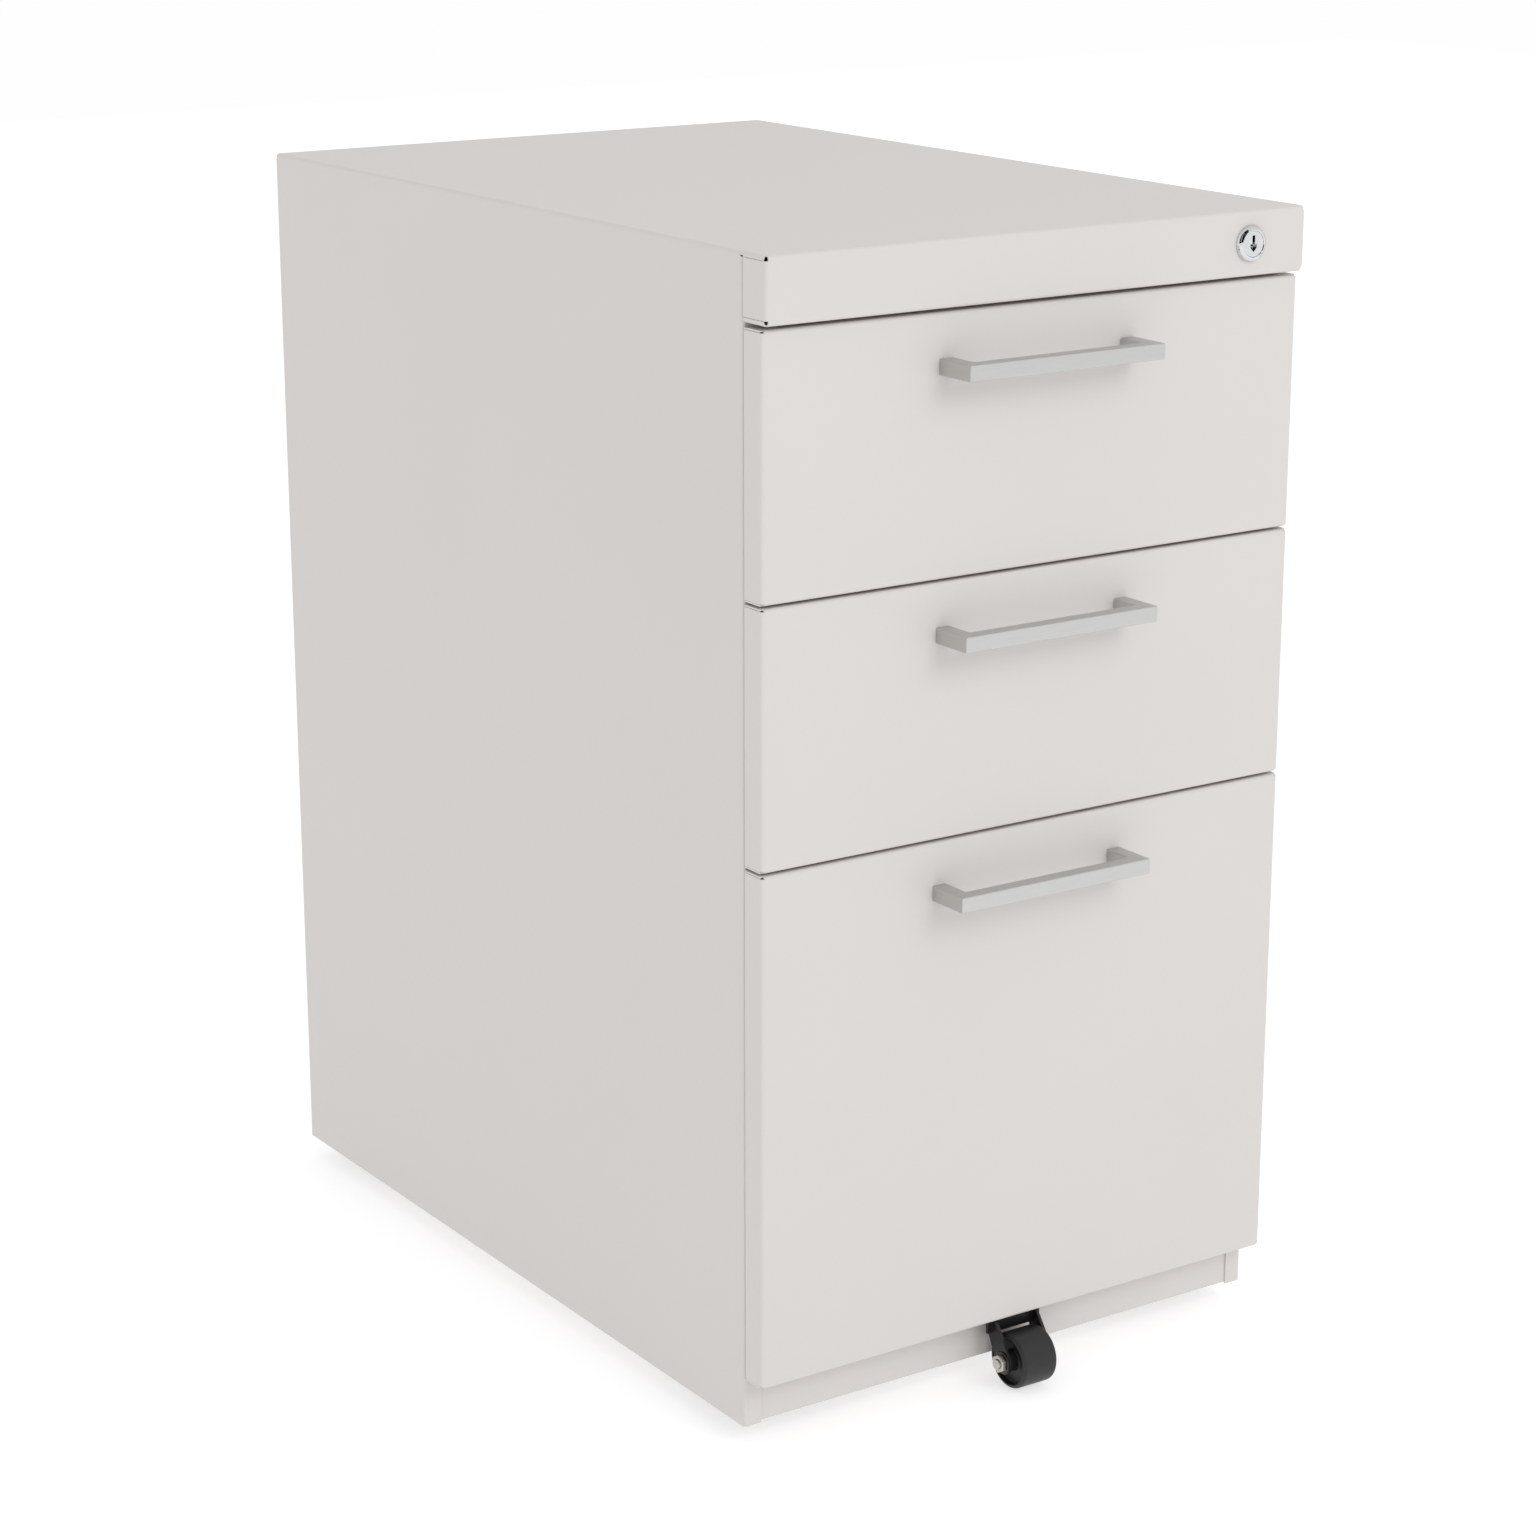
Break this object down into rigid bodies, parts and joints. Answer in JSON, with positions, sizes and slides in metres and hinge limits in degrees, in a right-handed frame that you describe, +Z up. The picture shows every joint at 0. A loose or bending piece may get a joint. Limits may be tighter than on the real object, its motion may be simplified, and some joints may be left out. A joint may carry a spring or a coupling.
{
  "type": "filing cabinet",
  "caption": "Mobile steel filing pedestal: box drawers over a file drawer, square bar handles, lock in the front rail, hidden swivel casters and an anti-tip wheel.",
  "frame": {"origin": "on the floor, under the middle of the pedestal's overall width and depth, handles included", "axes": "+Z up, front and drawers' travel along -Y, width along X"},
  "size_m": [0.381, 0.604, 0.7048],
  "materials": {
    "greige_powder_coat": "satin powder coat, warm off-white",
    "zinc_plated_steel": "bright zinc-plated cold-rolled steel",
    "zinc_fasteners": "zinc-plated screws, bolt and rivets",
    "caster_steel": "zinc-plated pressed steel",
    "black_nylon": "moulded black nylon, low sheen",
    "satin_aluminium": "satin silver handle",
    "lock_chrome": "polished chrome on a die-cast lock",
    "lock_zinc": "dull zinc",
    "black_steel": "black powder-coated steel bracket",
    "dark_washers": "dark oiled steel",
    "grey_nylon": "moulded grey nylon"
  },
  "bodies": {
    "root": {"case_wrap": "greige_powder_coat", "back_panel": "greige_powder_coat", "base_pan": "greige_powder_coat", "plinth_panel": "greige_powder_coat", "plain_posts": "zinc_plated_steel", "lock_post": "zinc_plated_steel", "cross_rails": "greige_powder_coat", "slide_case_members": "zinc_plated_steel", "slide_screws": "zinc_fasteners", "lock_cylinder": "lock_chrome", "lock_nut": "lock_zinc", "lock_bar_guides": "grey_nylon", "caster_plates": "caster_steel", "caster_screws": "zinc_fasteners"},
    "lock_plug": {"lock_plug": "lock_chrome", "lock_cam": "lock_zinc", "lock_cam_screw": "zinc_fasteners"},
    "lock_bar": {"lock_bar": "zinc_plated_steel", "lock_link": "zinc_plated_steel", "lock_lugs": "zinc_plated_steel"},
    "top_drawer": {"top_front": "greige_powder_coat", "top_body": "greige_powder_coat", "top_handle": "satin_aluminium", "top_handle_screws": "zinc_fasteners", "top_catch": "zinc_plated_steel", "top_slide_inner": "zinc_plated_steel"},
    "middle_drawer": {"middle_front": "greige_powder_coat", "middle_body": "greige_powder_coat", "middle_handle": "satin_aluminium", "middle_handle_screws": "zinc_fasteners", "middle_catch": "zinc_plated_steel", "middle_slide_inner": "zinc_plated_steel"},
    "file_drawer": {"file_front": "greige_powder_coat", "file_body": "greige_powder_coat", "file_handle": "satin_aluminium", "file_handle_screws": "zinc_fasteners", "file_catch": "zinc_plated_steel", "file_slide_inner": "zinc_plated_steel", "folder_rails": "zinc_plated_steel", "tip_bracket": "black_steel", "tip_axle": "zinc_fasteners", "tip_nut": "zinc_fasteners", "tip_washers": "dark_washers"},
    "tip_wheel": {"tip_wheel": "black_nylon"},
    "top_slide": {"top_slide_middle": "zinc_plated_steel"},
    "middle_slide": {"middle_slide_middle": "zinc_plated_steel"},
    "file_slide": {"file_slide_middle": "zinc_plated_steel"},
    "front_left_fork": {"front_left_fork": "caster_steel", "front_left_axle": "zinc_fasteners"},
    "front_right_fork": {"front_right_fork": "caster_steel", "front_right_axle": "zinc_fasteners"},
    "rear_left_fork": {"rear_left_fork": "caster_steel", "rear_left_axle": "zinc_fasteners"},
    "rear_right_fork": {"rear_right_fork": "caster_steel", "rear_right_axle": "zinc_fasteners"},
    "front_left_wheel": {"front_left_wheel": "black_nylon"},
    "front_right_wheel": {"front_right_wheel": "black_nylon"},
    "rear_left_wheel": {"rear_left_wheel": "black_nylon"},
    "rear_right_wheel": {"rear_right_wheel": "black_nylon"}
  },
  "joints": [
    {"name": "top_drawer_slide", "type": "slide", "parent": "root", "child": "top_drawer", "axis": [0, -1, 0], "range_m": [0, 0.5]},
    {"name": "middle_drawer_slide", "type": "slide", "parent": "root", "child": "middle_drawer", "axis": [0, -1, 0], "range_m": [0, 0.5]},
    {"name": "file_drawer_slide", "type": "slide", "parent": "root", "child": "file_drawer", "axis": [0, -1, 0], "range_m": [0, 0.5]},
    {"name": "top_slide_extend", "type": "slide", "parent": "root", "child": "top_slide", "axis": [0, -1, 0], "range_m": [0, 0.25]},
    {"name": "middle_slide_extend", "type": "slide", "parent": "root", "child": "middle_slide", "axis": [0, -1, 0], "range_m": [0, 0.25]},
    {"name": "file_slide_extend", "type": "slide", "parent": "root", "child": "file_slide", "axis": [0, -1, 0], "range_m": [0, 0.25]},
    {"name": "lock_turn", "type": "hinge", "parent": "root", "child": "lock_plug", "pos_m": [0.1485, -0.2777, 0.68555], "axis": [0, 1, 0], "range_deg": [0, 90]},
    {"name": "lock_bar_drop", "type": "slide", "parent": "root", "child": "lock_bar", "axis": [0, 0, -1], "range_m": [0, 0.0099]},
    {"name": "tip_wheel_spin", "type": "hinge", "parent": "file_drawer", "child": "tip_wheel", "pos_m": [0, -0.2765, 0.0187], "axis": [1, 0, 0], "continuous": true},
    {"name": "front_left_swivel", "type": "hinge", "parent": "root", "child": "front_left_fork", "pos_m": [-0.1335, -0.1985, 0.05], "axis": [0, 0, 1], "continuous": true},
    {"name": "front_right_swivel", "type": "hinge", "parent": "root", "child": "front_right_fork", "pos_m": [0.1335, -0.1985, 0.05], "axis": [0, 0, 1], "continuous": true},
    {"name": "rear_left_swivel", "type": "hinge", "parent": "root", "child": "rear_left_fork", "pos_m": [-0.1335, 0.237, 0.05], "axis": [0, 0, 1], "continuous": true},
    {"name": "rear_right_swivel", "type": "hinge", "parent": "root", "child": "rear_right_fork", "pos_m": [0.1335, 0.237, 0.05], "axis": [0, 0, 1], "continuous": true},
    {"name": "front_left_spin", "type": "hinge", "parent": "front_left_fork", "child": "front_left_wheel", "pos_m": [-0.1335, -0.1815, 0.019], "axis": [1, 0, 0], "continuous": true},
    {"name": "front_right_spin", "type": "hinge", "parent": "front_right_fork", "child": "front_right_wheel", "pos_m": [0.1335, -0.1815, 0.019], "axis": [1, 0, 0], "continuous": true},
    {"name": "rear_left_spin", "type": "hinge", "parent": "rear_left_fork", "child": "rear_left_wheel", "pos_m": [-0.1335, 0.254, 0.019], "axis": [1, 0, 0], "continuous": true},
    {"name": "rear_right_spin", "type": "hinge", "parent": "rear_right_fork", "child": "rear_right_wheel", "pos_m": [0.1335, 0.254, 0.019], "axis": [1, 0, 0], "continuous": true}
  ],
  "couplings": [
    {"joint": "top_slide_extend", "follows": "top_drawer_slide", "ratio": 0.5},
    {"joint": "middle_slide_extend", "follows": "middle_drawer_slide", "ratio": 0.5},
    {"joint": "file_slide_extend", "follows": "file_drawer_slide", "ratio": 0.5},
    {"joint": "lock_turn", "follows": "lock_bar_drop", "rad_per_m": 158.67}
  ]
}
